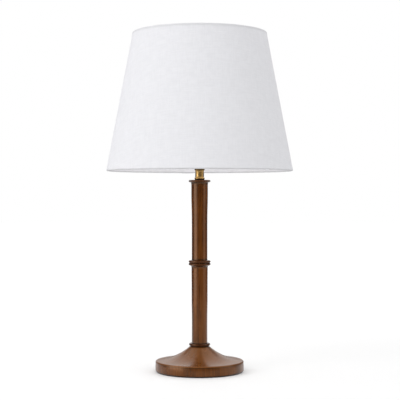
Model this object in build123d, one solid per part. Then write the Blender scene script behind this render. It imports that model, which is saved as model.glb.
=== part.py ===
from build123d import *

import os
from math import asin, atan2, cos, degrees, hypot, radians, sin, sqrt, tan

# Candlestick table lamp with a turned wooden column, a brass neck and a tapered fabric shade.
#
# Frame: millimetres, +Z up along the lamp's axis, the origin on the table under its centre.
# The front, which the switch knob faces, is towards -Y. The harp stands in the XZ plane.

# --------------------------------------------------------------------------- clearances
fit_gap = 0.1             # nested wood and sheet metal, on the radius
thread_gap = 0.05         # plain cylinders that stand for a screw and its nut, on the radius
running_gap = 0.08        # a pin or shaft in the hole that it turns in, on the radius
seat_gap = 0.1            # between a piece that lifts off and the flat face that it rests on
loose_gap = 0.3           # between curved faces that must stay apart
tenon_end_gap = 1.0       # room left under the end of a tenon

# --------------------------------------------------------------------------- base
felt_thickness = 2.0
felt_inset = 2.0          # the felt stays this far inside the edge of the base
base_radius = 84.5
base_height = 46.5        # from the felt to the foot ring
base_edge_height = 16.4   # the upright edge, under its bead
base_edge_turn = 14       # degrees; the edge swells a little
base_edge_taper = 0.5     # the edge leans in this much at its top
base_bottom_round = 1.5
base_bead_height = 2.8    # rounded bead on top of the edge
base_bead_overhang = 0.45
base_neck_radius = 18.4
base_cove_turn = 37.5     # degrees of the hollow between the bead and the neck
base_socket_depth = 20.0
recess_radius = 60.0      # room under the base for the weight and the nut
recess_depth = 18.5

weight_radius = 58.0
weight_thickness = 6.5
base_washer_radius = 14.0
base_washer_thickness = 1.4
lock_washer_radius = 8.0
lock_washer_thickness = 1.0
base_nut_flats = 17.0
base_nut_height = 3.2
tube_tail = 2.2           # the tube stands this far out of the base nut

cord_hole_radius = 4.7
cord_hole_height = 9.2    # of its axis above the table
bushing_bore_radius = 3.2
bushing_flange_radius = 6.2
bushing_flange_thickness = 1.5
spotface_depth = 0.6      # flat seat for the bushing's flange

# --------------------------------------------------------------------------- turned column
foot_ring_radius = 20.3
foot_ring_height = 5.8
foot_ring_turn = 150      # degrees of its rounded edge
foot_groove_radius = 16.8  # narrow groove under the foot ring
foot_groove_height = 1.1

lower_column_length = 147.1
lower_foot_radius = 15.0
lower_top_radius = 15.55
lower_swell_start = 33.0  # the column is straight up to here
lower_swell_height = 60.0
lower_flare = 0.4
lower_tenon_radius = 11.0

middle_ring_radius = 21.1
middle_bead_height = 5.0
middle_cove_height = 1.8  # under the lower bead
middle_cove_turn = 50
middle_top_height = 0.6   # slope above the upper bead
middle_edge_radius = 16.1  # where the ring meets the columns

upper_column_length = 148.6
upper_foot_radius = 14.95
upper_top_radius = 15.85
upper_swell_start = 76.0
upper_swell_height = 53.0
upper_flare = 0.9
upper_tenon_radius = 9.0
upper_tenon_depth = 24.0  # in the lower column

flare_height = 4.5        # of the small flare at the top of each column
column_foot_chamfer = 0.4

collar_radius = 20.9
collar_height = 4.6
collar_edge_turn = 130    # degrees of its rounded edge
collar_seat_radius = 17.6
collar_seat_height = 0.5
spigot_radius = 9.0
spigot_length = 6.0

# --------------------------------------------------------------------------- tube and neck
tube_radius = 4.9
tube_bore_radius = 3.4
wood_play = 0.6           # between the tube and the bores in the wood, on the radius
slip_play = 0.2           # between the tube and the metal pieces stacked on it

neck_washer_radius = 9.6
neck_washer_thickness = 0.8
neck_height = 20.7
neck_barrel_radius = 8.5
neck_bead_radius = 9.8
neck_bead_height = 4.6
neck_bead_turn = 115
neck_flange_radius = 9.8
neck_flange_height = 3.0
neck_flange_turn = 90
neck_hollow_height = 1.3  # of the small curves between the barrel and its ends
neck_hollow_turn = 40

# --------------------------------------------------------------------------- saddle and harp
saddle_thickness = 1.5
saddle_width = 12.0
saddle_flat = 15.0        # half of the flat middle
saddle_bend = 3.0
saddle_arm_x = 28.2
saddle_arm_height = 12.0  # from the flat up to the shoulder that carries the harp
saddle_knee_height = 7.0
saddle_tab_width = 4.4
saddle_tab_height = 13.6
saddle_lug_width = 6.0
saddle_nut_flats = 14.0
saddle_nut_height = 3.2

harp_height = 245.0       # from the saddle to the seat of the shade
harp_wire_radius = 1.6
harp_leg_straight = 42.0
harp_bulge_x = 57.0
harp_bulge_low = 118.0    # above the saddle
harp_bulge_high = 192.0
harp_crown_x = 34.0
harp_leg_bend = 60.0
harp_low_bend = 70.0
harp_high_bend = 50.0
harp_crown_bend = 30.0
harp_eye_radius = 5.2
harp_eye_height = 3.4

sleeve_length = 13.0
sleeve_wall = 0.7
sleeve_rim = 0.5

stud_seat_radius = 10.0
stud_seat_thickness = 2.0
stud_radius = 3.1
stud_length = 13.0        # above its seat
stud_chamfer = 0.6
rivet_radius = 2.4
rivet_head_radius = 4.2
rivet_head_height = 1.6
rivet_head_turn = 60      # degrees of its domed underside

# --------------------------------------------------------------------------- lampholder
cap_wall = 0.7
cap_hub_radius = 7.0
cap_hub_height = 12.0
cap_tube_depth = 9.0      # how far the tube screws into the hub
cap_dome_start = 6.4      # the dome leaves the hub this far up
cap_dome_height = 11.5
cap_dome_turn = 75
cap_skirt_height = 6.0
cap_screw_radius = 1.5
cap_screw_head_radius = 2.4
cap_screw_head_height = 1.8
cap_screw_height = 3.4    # of its axis above the foot of the hub
screw_slot_width = 0.7
screw_slot_depth = 0.7

shell_radius = 16.2
shell_length = 46.0
shell_insert = 5.5        # how far the shell pushes into the cap
shell_wall = 0.6
shell_lip = 0.6           # rolled edge at the mouth
liner_wall = 0.5
liner_margin = 2.0        # the liner ends this far inside both ends of the shell
body_radius = 14.6
body_height = 20.0
body_flat_x = 12.0        # flats for the terminal screws
screw_shell_wall = 0.5
screw_shell_height = 21.5
screw_shell_floor = 7.0   # radius of the hole in its floor
contact_radius = 4.0
contact_height = 3.6
contact_foot = 1.0
terminal_head_radius = 2.8
terminal_head_height = 1.8
terminal_shank_radius = 1.5
terminal_shank_length = 5.0
terminal_height = 8.0     # above the foot of the body

switch_shaft_radius = 2.2
switch_height = 13.0      # above the foot of the body
switch_shaft_root = 8.0   # the shaft starts this far from the lamp's axis
switch_notch_play = 0.6
knob_radius = 6.0
knob_length = 13.0
knob_start = 26.5         # from the lamp's axis
knob_flutes = 12
knob_flute_radius = 1.0
knob_socket_depth = 9.0

# --------------------------------------------------------------------------- bulb
bulb_radius = 30.0
bulb_neck_radius = 12.1
bulb_neck_turn = 36       # degrees
bulb_neck_insert = 7.0    # how far the glass goes into its cap
glass_wall = 0.8
bulb_cap_radius = 13.2    # over the crests of its thread
bulb_cap_height = 20.0
bulb_cap_wall = 0.5
thread_depth = 0.4
thread_turns = 5
thread_pitch = 3.6
cap_lip = 0.6
tip_radius = 4.6
tip_height = 1.6
insulator_height = 3.0
insulator_insert = 1.5
stem_flange_height = 2.0
stem_radius = 4.0
stem_height = 44.0
filament_radius = 0.5
filament_foot_x = 2.6
filament_lead = 3.0       # straight start of each lead wire
filament_half_width = 11.0
filament_height = 24.0
filament_bend = 3.0

# --------------------------------------------------------------------------- shade
shade_bottom_radius = 178.6
shade_top_radius = 128.1
shade_height = 264.2
spider_drop = 14.0        # from the top rim down to the seat of the spider
fabric_thickness = 0.6
lining_thickness = 0.6
ring_wire_radius = 1.25
hem_turn_in = 9.0         # how far the rolled edge comes back up inside
spider_washer_radius = 12.7
spider_washer_thickness = 2.0
spider_bore_radius = 3.5
spider_wire_radius = 1.6
spider_root_radius = 9.0
spider_rise_start = 14.8  # the arms start to rise this far inside the ring
spider_rise_length = 7.0
spider_bend = 3.5
spider_angles = [90, 210, 330]

# --------------------------------------------------------------------------- finial
finial_base_radius = 7.5
finial_base_height = 3.0
finial_base_turn = 110
finial_neck_radius = 4.6
finial_neck_height = 3.4
finial_neck_turn = 70
finial_ball_radius = 6.4
finial_bore_depth = 14.0

# --------------------------------------------------------------------------- levels
# Heights above the table. Each piece stands on the one before it.
base_bottom = felt_thickness
edge_top = base_bottom + base_edge_height
base_bead_top = edge_top + base_bead_height
base_top = base_bottom + base_height
recess_ceiling = base_bottom + recess_depth
weight_bottom = recess_ceiling - weight_thickness
base_washer_bottom = weight_bottom - base_washer_thickness
lock_washer_bottom = base_washer_bottom - lock_washer_thickness
base_nut_bottom = lock_washer_bottom - base_nut_height
tube_bottom = base_nut_bottom - tube_tail

lower_column_bottom = base_top + foot_ring_height
lower_column_top = lower_column_bottom + lower_column_length
middle_beads_bottom = lower_column_top + middle_cove_height
middle_beads_top = middle_beads_bottom + 2 * middle_bead_height
upper_column_bottom = middle_beads_top + middle_top_height
upper_column_top = upper_column_bottom + upper_column_length
collar_top = upper_column_top + collar_height
neck_bottom = collar_top + neck_washer_thickness
neck_top = neck_bottom + neck_height

saddle_top = neck_top + saddle_thickness
shoulder_top = saddle_top + saddle_arm_height
cap_bottom = saddle_top + saddle_nut_height
tube_top = cap_bottom + cap_tube_depth
dome_bottom = cap_bottom + cap_dome_start
dome_top = dome_bottom + cap_dome_height
cap_top = dome_top + cap_skirt_height
cap_screw_level = cap_bottom + cap_screw_height
shell_bottom = cap_top - shell_insert
shell_top = shell_bottom + shell_length
liner_bottom = shell_bottom + liner_margin
liner_top = shell_top - liner_margin
body_bottom = liner_bottom
body_top = body_bottom + body_height
switch_level = body_bottom + switch_height
terminal_level = body_bottom + terminal_height
contact_top = body_top + contact_height

bulb_tip = contact_top + loose_gap
insulator_bottom = bulb_tip + tip_height
bulb_cap_bottom = insulator_bottom + insulator_height
bulb_cap_top = bulb_cap_bottom + bulb_cap_height

seat_top = saddle_top + harp_height
seat_bottom = seat_top - stud_seat_thickness
eye_top = seat_bottom - loose_gap
eye_bottom = eye_top - harp_eye_height
harp_crown = (eye_top + eye_bottom) / 2
rivet_head_top = eye_bottom - loose_gap
rivet_head_bottom = rivet_head_top - rivet_head_height
stud_top = seat_top + stud_length
spider_bottom = seat_top + seat_gap
spider_top = spider_bottom + spider_washer_thickness
finial_bottom = spider_top + seat_gap
shade_top = seat_top + spider_drop
shade_bottom = shade_top - shade_height

# --------------------------------------------------------------------------- sizes that follow
wood_bore = tube_radius + wood_play
slip_bore = tube_radius + slip_play
thread_bore = tube_radius + thread_gap
cap_inner_radius = shell_radius + fit_gap
cap_radius = cap_inner_radius + cap_wall
shell_inner_radius = shell_radius - shell_wall
liner_radius = shell_inner_radius - fit_gap
liner_inner_radius = liner_radius - liner_wall
screw_shell_bore = bulb_cap_radius + loose_gap
bulb_cap_root = bulb_cap_radius - thread_depth
bulb_cap_bore = bulb_cap_root - bulb_cap_wall

# The sleeve is centred on the tab and the wire that it locks together, and clears both.
saddle_arm_face = saddle_arm_x + saddle_thickness / 2
harp_leg_x = saddle_arm_face + loose_gap + harp_wire_radius
sleeve_inner_edge = saddle_arm_x - saddle_thickness / 2
sleeve_outer_edge = harp_leg_x + harp_wire_radius
sleeve_x = (sleeve_inner_edge + sleeve_outer_edge) / 2
sleeve_bore = hypot(sleeve_outer_edge - sleeve_x, saddle_tab_width / 2) + fit_gap
sleeve_radius = sleeve_bore + sleeve_wall
sleeve_bottom = shoulder_top + seat_gap

# The wall of the shade is a cone, measured along its slope.
shade_taper = shade_bottom_radius - shade_top_radius
shade_slope = hypot(shade_taper, shade_height)
slope_in = shade_taper / shade_slope
slope_up = shade_height / shade_slope
lining_depth = fabric_thickness + fit_gap
ring_depth = lining_depth + lining_thickness + loose_gap + ring_wire_radius
hem_depth = ring_depth + ring_wire_radius + loose_gap + fabric_thickness
hem_radius = hem_depth / 2


# --------------------------------------------------------------------------- shared shapes
def arc_depth(chord, turn):
    """How far an arc that turns through an angle in degrees stands off its chord."""
    return chord / 2 * tan(radians(turn) / 4)


def leaving_turn(ahead, aside):
    """Degrees that an arc turns through to end this far ahead and aside of where it leaves."""
    return degrees(2 * atan2(aside, ahead))


def outline(corners):
    """Face with its corners given as (across, up).

    A third number is the angle in degrees that the arc which reaches the corner turns through:
    positive swells and negative is hollow, on an outline that runs anticlockwise.
    """
    edges = []
    start = corners[-1][:2]
    for across, up, *turn in corners:
        end = (across, up)
        if turn:
            chord = hypot(end[0] - start[0], end[1] - start[1])
            edges.append(SagittaArc(start, end, -arc_depth(chord, turn[0])))
        else:
            edges.append(Line(start, end))
        start = end
    return make_face(edges)


def turned(*corners):
    """Solid turned about the lamp's axis, from an outline of (radius, height) corners."""
    return revolve(Plane.XZ * outline(corners), Axis.Z)


def disc(radius, bottom, top):
    """Upright cylinder on the lamp's axis."""
    return Pos(0, 0, bottom) * extrude(Circle(radius), top - bottom)


def pipe(radius, bore, bottom, top):
    """Upright hollow cylinder on the lamp's axis."""
    return disc(radius, bottom, top) - disc(bore, bottom, top)


def rod(radius, start, end):
    """Straight round rod between two points."""
    line = Line(start, end)
    return extrude(Plane(line @ 0, z_dir=line % 0) * Circle(radius), line.length)


def bent_wire(radius, path):
    """Round wire along a path."""
    return sweep(Plane(path @ 0, z_dir=path % 0) * Circle(radius), path=path)


def hexagon_nut(flats, bottom, top):
    """Six-sided nut on the threaded tube."""
    blank = extrude(RegularPolygon(flats / 2, 6, major_radius=False), top - bottom)
    return Pos(0, 0, bottom) * blank - disc(thread_bore, bottom, top)


def slotted_head(radius, height):
    """Round screw head on +Z, with a slot across its top."""
    head = disc(radius, 0, height)
    slot_middle = height - screw_slot_depth / 2
    return head - Pos(0, 0, slot_middle) * Box(screw_slot_width, 2 * radius, screw_slot_depth)


# --------------------------------------------------------------------------- base pieces
def back_point(distance):
    """Point on the axis of the cord hole, this far behind the lamp's axis."""
    return (0, distance, cord_hole_height)


def base_foot():
    """Turned wooden foot: upright edge, bead, cove and neck, over a recess."""
    edge_top_radius = base_radius - base_edge_taper
    bead_radius = edge_top_radius + base_bead_overhang
    socket_radius = lower_tenon_radius + fit_gap
    socket_floor = base_top - base_socket_depth
    foot = turned(
        (wood_bore, recess_ceiling),
        (recess_radius, recess_ceiling),
        (recess_radius, base_bottom),
        (base_radius - base_bottom_round, base_bottom),
        (base_radius, base_bottom + base_bottom_round, 90),
        (edge_top_radius, edge_top, base_edge_turn),
        (bead_radius, edge_top),
        (bead_radius - base_bead_height, base_bead_top, 90),
        (base_neck_radius, base_top, -base_cove_turn),
        (socket_radius, base_top),
        (socket_radius, socket_floor),
        (wood_bore, socket_floor),
    )
    outside = back_point(2 * base_radius)
    foot -= rod(cord_hole_radius, back_point(weight_radius), outside)
    flange_seat = back_point(base_radius - spotface_depth)
    return foot - rod(bushing_flange_radius + loose_gap, flange_seat, outside)


def felt_pad():
    """Felt disc glued under the base, which closes the recess."""
    return disc(base_radius - felt_inset, 0, felt_thickness)


def counterweight():
    """Cast disc against the ceiling of the recess."""
    return pipe(weight_radius, wood_bore, weight_bottom, recess_ceiling)


def base_washer():
    return pipe(base_washer_radius, slip_bore, base_washer_bottom, weight_bottom)


def base_lock_washer():
    return pipe(lock_washer_radius, slip_bore, lock_washer_bottom, base_washer_bottom)


def base_nut():
    return hexagon_nut(base_nut_flats, base_nut_bottom, lock_washer_bottom)


def cord_bushing():
    """Flanged bushing that lines the cord hole at the back of the base."""
    inner_end = back_point(recess_radius)
    flange_seat = back_point(base_radius - spotface_depth)
    outer_end = back_point(base_radius - spotface_depth + bushing_flange_thickness)
    bushing = rod(cord_hole_radius - fit_gap, inner_end, flange_seat)
    bushing += rod(bushing_flange_radius, flange_seat, outer_end)
    return bushing - rod(bushing_bore_radius, inner_end, outer_end)


# --------------------------------------------------------------------------- column pieces
def foot_ring():
    """Single bead under the column, over a narrow groove."""
    bore = lower_tenon_radius + fit_gap
    groove_top = base_top + foot_groove_height
    edge_depth = arc_depth(lower_column_bottom - groove_top, foot_ring_turn)
    flat_radius = foot_ring_radius - edge_depth
    return turned(
        (bore, base_top),
        (foot_groove_radius, base_top),
        (foot_groove_radius, groove_top),
        (flat_radius, groove_top),
        (flat_radius, lower_column_bottom, foot_ring_turn),
        (bore, lower_column_bottom),
    )


def column(ends, radii, swell, flare, tenon, socket):
    """Turned column with a tenon below and a socket in its top.

    Each argument is a pair: the bottom and top, the radii there, where the swell starts and
    ends, then (radius, level) for the end of the tenon and for the floor of the socket.
    """
    bottom, top = ends
    foot_radius, top_radius = radii
    swell_bottom, swell_top = swell
    middle = ((foot_radius + top_radius) / 2, (swell_bottom + swell_top) / 2)
    swell_turn = leaving_turn(swell_top - swell_bottom, top_radius - foot_radius)
    flare_turn = leaving_turn(flare_height, flare)
    return turned(
        (wood_bore, tenon[1]),
        tenon,
        (tenon[0], bottom),
        (foot_radius - column_foot_chamfer, bottom),
        (foot_radius, bottom + column_foot_chamfer),
        (foot_radius, swell_bottom),
        (*middle, -swell_turn),
        (top_radius, swell_top, swell_turn),
        (top_radius, top - flare_height),
        (top_radius + flare, top, -flare_turn),
        (socket[0], top),
        socket,
        (wood_bore, socket[1]),
    )


def lower_column():
    swell_start = lower_column_bottom + lower_swell_start
    tenon_end = base_top - base_socket_depth + tenon_end_gap
    socket_floor = lower_column_top - upper_tenon_depth - tenon_end_gap
    return column(
        ends=(lower_column_bottom, lower_column_top),
        radii=(lower_foot_radius, lower_top_radius),
        swell=(swell_start, swell_start + lower_swell_height),
        flare=lower_flare,
        tenon=(lower_tenon_radius, tenon_end),
        socket=(upper_tenon_radius + fit_gap, socket_floor),
    )


def middle_ring():
    """Ring of two half-round beads over a small cove, round the upper tenon."""
    bore = upper_tenon_radius + fit_gap
    bead_foot = middle_ring_radius - middle_bead_height / 2
    return turned(
        (bore, lower_column_top),
        (middle_edge_radius, lower_column_top),
        (bead_foot, middle_beads_bottom, -middle_cove_turn),
        (bead_foot, middle_beads_bottom + middle_bead_height, 180),
        (bead_foot, middle_beads_top, 180),
        (middle_edge_radius, upper_column_bottom),
        (bore, upper_column_bottom),
    )


def upper_column():
    swell_start = upper_column_bottom + upper_swell_start
    tenon_end = lower_column_top - upper_tenon_depth
    socket_floor = upper_column_top - spigot_length - tenon_end_gap
    return column(
        ends=(upper_column_bottom, upper_column_top),
        radii=(upper_foot_radius, upper_top_radius),
        swell=(swell_start, swell_start + upper_swell_height),
        flare=upper_flare,
        tenon=(upper_tenon_radius, tenon_end),
        socket=(spigot_radius + fit_gap, socket_floor),
    )


def top_collar():
    """Thin round collar, with a spigot in the top of the column."""
    edge_bottom = upper_column_top + collar_seat_height
    edge_radius = collar_radius - arc_depth(collar_top - edge_bottom, collar_edge_turn)
    spigot_end = upper_column_top - spigot_length
    return turned(
        (wood_bore, spigot_end),
        (spigot_radius, spigot_end),
        (spigot_radius, upper_column_top),
        (collar_seat_radius, upper_column_top),
        (edge_radius, edge_bottom),
        (edge_radius, collar_top, collar_edge_turn),
        (wood_bore, collar_top),
    )


# --------------------------------------------------------------------------- tube and neck
def threaded_tube():
    """Tube that clamps the base, the column and the neck together."""
    return pipe(tube_radius, tube_bore_radius, tube_bottom, tube_top)


def neck_washer():
    return pipe(neck_washer_radius, slip_bore, collar_top, neck_bottom)


def brass_neck():
    """Spool with a bead at its foot and a flange at its top."""
    bead_top = neck_bottom + neck_bead_height
    bead_foot = neck_bead_radius - arc_depth(neck_bead_height, neck_bead_turn)
    flange_bottom = neck_top - neck_flange_height
    flange_edge = neck_flange_radius - arc_depth(neck_flange_height, neck_flange_turn)
    return turned(
        (slip_bore, neck_bottom),
        (bead_foot, neck_bottom),
        (bead_foot, bead_top, neck_bead_turn),
        (neck_barrel_radius, bead_top + neck_hollow_height, -neck_hollow_turn),
        (neck_barrel_radius, flange_bottom - neck_hollow_height),
        (flange_edge, flange_bottom, -neck_hollow_turn),
        (flange_edge, neck_top, neck_flange_turn),
        (slip_bore, neck_top),
    )


# --------------------------------------------------------------------------- saddle and harp
def harp_saddle():
    """Strip over the neck, with its arms bent up to shoulders, lugs and narrow tabs."""
    strip_level = saddle_top - saddle_thickness / 2
    knee_level = saddle_top + saddle_knee_height
    path = FilletPolyline(
        (-saddle_arm_x, 0, shoulder_top),
        (-saddle_arm_x, 0, knee_level),
        (-saddle_flat, 0, strip_level),
        (saddle_flat, 0, strip_level),
        (saddle_arm_x, 0, knee_level),
        (saddle_arm_x, 0, shoulder_top),
        radius=saddle_bend,
    )
    section = Plane(path @ 0, x_dir=(0, 1, 0), z_dir=path % 0)
    saddle = sweep(section * Rectangle(saddle_width, saddle_thickness), path=path)
    saddle -= disc(slip_bore, neck_top, saddle_top)

    lug_end = sleeve_x + sleeve_radius
    lug_middle = (saddle_arm_x + lug_end) / 2
    lug_level = shoulder_top - saddle_thickness / 2
    tab_bottom = shoulder_top - saddle_thickness
    tab_top = shoulder_top + saddle_tab_height
    for side in (-1, 1):
        lug = Box(lug_end - saddle_arm_x, saddle_lug_width, saddle_thickness)
        tab = Box(saddle_thickness, saddle_tab_width, tab_top - tab_bottom)
        saddle += Pos(side * lug_middle, 0, lug_level) * lug
        saddle += Pos(side * saddle_arm_x, 0, (tab_bottom + tab_top) / 2) * tab
    return saddle


def saddle_nut():
    return hexagon_nut(saddle_nut_flats, saddle_top, cap_bottom)


def harp_wire():
    """Wire frame round the bulb, with a flattened eye for the swivel stud at its crown."""
    foot = shoulder_top + seat_gap
    side = [
        (harp_leg_x, foot),
        (harp_leg_x, foot + harp_leg_straight),
        (harp_bulge_x, saddle_top + harp_bulge_low),
        (harp_bulge_x, saddle_top + harp_bulge_high),
        (harp_crown_x, harp_crown),
    ]
    bends = [harp_leg_bend, harp_low_bend, harp_high_bend, harp_crown_bend]
    corners = [(x, 0, z) for x, z in side] + [(-x, 0, z) for x, z in reversed(side)]
    wire = bent_wire(harp_wire_radius, FilletPolyline(*corners, radius=bends + bends[::-1]))
    wire += disc(harp_eye_radius, eye_bottom, eye_top)
    return wire - disc(rivet_radius + running_gap, eye_bottom, eye_top)


def sleeve(side):
    """Ring that slides down over a saddle tab and a harp leg to lock them together."""
    rim_radius = sleeve_radius + arc_depth(2 * sleeve_rim, 180)
    top = sleeve_bottom + sleeve_length
    ring = pipe(sleeve_radius, sleeve_bore, sleeve_bottom, top)
    for level in (sleeve_bottom + sleeve_rim, top - sleeve_rim):
        ring += Pos(0, 0, level) * Torus(sleeve_radius, rim_radius - sleeve_radius)
    return Pos(side * sleeve_x, 0, 0) * ring


def harp_stud():
    """Swivel stud: a rivet through the harp's eye, a round seat and a screw for the finial."""
    return turned(
        (0, rivet_head_bottom),
        (rivet_radius, rivet_head_bottom),
        (rivet_head_radius, rivet_head_top, rivet_head_turn),
        (rivet_radius, rivet_head_top),
        (rivet_radius, seat_bottom),
        (stud_seat_radius, seat_bottom),
        (stud_seat_radius, seat_top, 90),
        (stud_radius, seat_top),
        (stud_radius, stud_top - stud_chamfer),
        (stud_radius - stud_chamfer, stud_top),
        (0, stud_top),
    )


# --------------------------------------------------------------------------- lampholder
def socket_cap():
    """Spun cap: a threaded hub, a dome and a skirt that takes the shell."""
    hub_top = cap_bottom + cap_hub_height
    cap = turned(
        (thread_bore, cap_bottom),
        (cap_hub_radius, cap_bottom),
        (cap_hub_radius, dome_bottom),
        (cap_radius, dome_top, cap_dome_turn),
        (cap_radius, cap_top),
        (cap_inner_radius, cap_top),
        (cap_inner_radius, dome_top),
        (cap_hub_radius, dome_bottom + cap_wall, -cap_dome_turn),
        (cap_hub_radius, hub_top),
        (thread_bore, hub_top),
    )
    hole_end = (0, 2 * cap_hub_radius, cap_screw_level)
    return cap - rod(cap_screw_radius + thread_gap, (0, 0, cap_screw_level), hole_end)


def cap_screw():
    """Set screw through the back of the hub, which stops the cap turning on the tube."""
    shank = disc(cap_screw_radius, tube_radius + thread_gap - cap_hub_radius, 0)
    screw = shank + slotted_head(cap_screw_head_radius, cap_screw_head_height)
    seat = Plane(origin=(0, cap_hub_radius, cap_screw_level), z_dir=(0, 1, 0))
    return seat * screw


def switch_notch(bottom):
    """Room for a shell to drop over the switch shaft from above."""
    half_width = switch_shaft_radius + switch_notch_play
    reach = 2 * shell_radius
    height = switch_level - bottom
    slot = Pos(0, -reach / 2, bottom + height / 2) * Box(2 * half_width, reach, height)
    return slot + rod(half_width, (0, 0, switch_level), (0, -reach, switch_level))


def socket_shell():
    """Outer metal shell with a rolled mouth."""
    shell = turned(
        (shell_inner_radius, shell_bottom),
        (shell_radius, shell_bottom),
        (shell_radius, shell_top - 2 * shell_lip),
        (shell_radius, shell_top, 180),
        (shell_inner_radius, shell_top),
    )
    return shell - switch_notch(shell_bottom)


def socket_liner():
    """Insulating card tube inside the shell."""
    tube = pipe(liner_radius, liner_inner_radius, liner_bottom, liner_top)
    return tube - switch_notch(liner_bottom)


def socket_body():
    """Insulating block that holds the switch, the terminals and the screw shell."""
    across_flats = Rectangle(2 * body_flat_x, 2 * body_radius)
    block = extrude(Circle(body_radius) & across_flats, body_height)
    body = Pos(0, 0, body_bottom) * block
    shaft_end = (0, -(switch_shaft_root - loose_gap), switch_level)
    body -= rod(switch_shaft_radius + running_gap, shaft_end, (0, -2 * body_radius, switch_level))
    hole_depth = body_flat_x - terminal_shank_length
    for side in (-1, 1):
        inner_end = (side * hole_depth, 0, terminal_level)
        outer_end = (side * body_radius, 0, terminal_level)
        body -= rod(terminal_shank_radius + thread_gap, inner_end, outer_end)
    return body


def terminal_screws():
    """Two terminal screws on the flats of the body."""
    screw = disc(terminal_shank_radius, -terminal_shank_length, 0)
    screw += slotted_head(terminal_head_radius, terminal_head_height)
    return Compound(
        children=[
            Plane(origin=(side * body_flat_x, 0, terminal_level), z_dir=(side, 0, 0)) * screw
            for side in (-1, 1)
        ]
    )


def screw_shell():
    """Thin threaded shell that holds the bulb, with a hole in its floor for the contact."""
    outer = screw_shell_bore + screw_shell_wall
    floor_top = body_top + screw_shell_wall
    top = body_top + screw_shell_height
    start = top - (thread_turns + 1 / 2) * thread_pitch
    levels = [start + turn * thread_pitch for turn in range(thread_turns + 1)]
    crest_turn = 2 * leaving_turn(thread_pitch / 2, thread_depth)
    crests = [(outer, level, crest_turn) for level in levels[1:]]
    troughs = [(screw_shell_bore, level, -crest_turn) for level in reversed(levels[:-1])]
    return turned(
        (screw_shell_floor, body_top),
        (outer, body_top),
        (outer, start),
        *crests,
        (outer, top),
        (screw_shell_bore, top),
        (screw_shell_bore, levels[-1]),
        *troughs,
        (screw_shell_bore, floor_top),
        (screw_shell_floor, floor_top),
    )


def centre_contact():
    """Rivet that meets the tip of the bulb."""
    foot_top = body_top + contact_foot
    return turned(
        (0, body_top),
        (contact_radius, body_top),
        (contact_radius, foot_top),
        (0, contact_top, leaving_turn(contact_radius, contact_top - foot_top)),
    )


# --------------------------------------------------------------------------- switch
def front_point(distance, x=0, up=0):
    """Point on the switch axis, this far in front of the lamp's axis."""
    return (x, -distance, switch_level + up)


def switch_shaft():
    shaft_end = front_point(knob_start + knob_socket_depth)
    return rod(switch_shaft_radius, front_point(switch_shaft_root), shaft_end)


def switch_knob():
    """Round knob with flutes round its rim, pushed on to the shaft."""
    knob_end = knob_start + knob_length
    knob = rod(knob_radius, front_point(knob_start), front_point(knob_end))
    socket_end = front_point(knob_start + knob_socket_depth)
    knob -= rod(switch_shaft_radius + thread_gap, front_point(knob_start), socket_end)
    for flute in range(knob_flutes):
        angle = radians(360 / knob_flutes * flute)
        x = knob_radius * cos(angle)
        up = knob_radius * sin(angle)
        knob -= rod(knob_flute_radius, front_point(knob_start, x, up), front_point(knob_end, x, up))
    return knob


# --------------------------------------------------------------------------- bulb
def bulb_form(inset):
    """Solid bulb shape: a neck, the hollow curve above it and a round end."""
    turn = radians(bulb_neck_turn)
    neck = bulb_neck_radius - inset
    round_radius = bulb_radius - inset
    foot = bulb_cap_top - bulb_neck_insert - inset
    shoulder_height = (bulb_radius * cos(turn) - bulb_neck_radius) / tan(turn / 2)
    centre = bulb_cap_top + shoulder_height + bulb_radius * sin(turn)
    shoulder = (round_radius * cos(turn), centre - round_radius * sin(turn))
    return turned(
        (0, foot),
        (neck, foot),
        (neck, bulb_cap_top),
        (*shoulder, -bulb_neck_turn),
        (0, centre + round_radius, 90 + bulb_neck_turn),
    )


def bulb_glass():
    """Blown glass, open at the neck."""
    return bulb_form(0) - bulb_form(glass_wall)


def bulb_cap():
    """Metal screw cap with rounded threads and a lip."""
    first = bulb_cap_bottom + thread_pitch / 4
    crest_turn = 2 * leaving_turn(thread_pitch / 2, thread_depth)
    levels = [first + turn * thread_pitch for turn in range(1, thread_turns + 1)]
    crests = [(bulb_cap_root, level, crest_turn) for level in levels]
    lip_bottom = bulb_cap_top - 2 * cap_lip
    return turned(
        (bulb_cap_bore, bulb_cap_bottom),
        (bulb_cap_root, bulb_cap_bottom),
        (bulb_cap_root, first),
        *crests,
        (bulb_cap_root, lip_bottom),
        (bulb_cap_root, bulb_cap_top, 180),
        (bulb_cap_bore, bulb_cap_top),
    )


def bulb_insulator():
    """Glass insulator between the cap and the tip."""
    outer = bulb_cap_bore - fit_gap
    top = bulb_cap_bottom + insulator_insert
    return turned(
        (0, insulator_bottom),
        (tip_radius, insulator_bottom),
        (outer, bulb_cap_bottom),
        (outer, top),
        (0, top),
    )


def bulb_contact():
    """Solder tip of the bulb."""
    return turned(
        (0, bulb_tip),
        (tip_radius, insulator_bottom, leaving_turn(tip_radius, tip_height)),
        (0, insulator_bottom),
    )


def bulb_stem():
    """Glass stem that carries the filament."""
    bottom = bulb_cap_top - bulb_neck_insert
    flange_radius = bulb_neck_radius - glass_wall - fit_gap
    flange_top = bottom + stem_flange_height
    return disc(flange_radius, bottom, flange_top) + disc(stem_radius, bottom, bottom + stem_height)


def bulb_filament():
    """Filament on its two lead wires."""
    foot = bulb_cap_top - bulb_neck_insert + stem_height
    top = foot + filament_height
    path = FilletPolyline(
        (-filament_foot_x, 0, foot),
        (-filament_foot_x, 0, foot + filament_lead),
        (-filament_half_width, 0, top),
        (filament_half_width, 0, top),
        (filament_foot_x, 0, foot + filament_lead),
        (filament_foot_x, 0, foot),
        radius=filament_bend,
    )
    return bent_wire(filament_radius, path)


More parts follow.
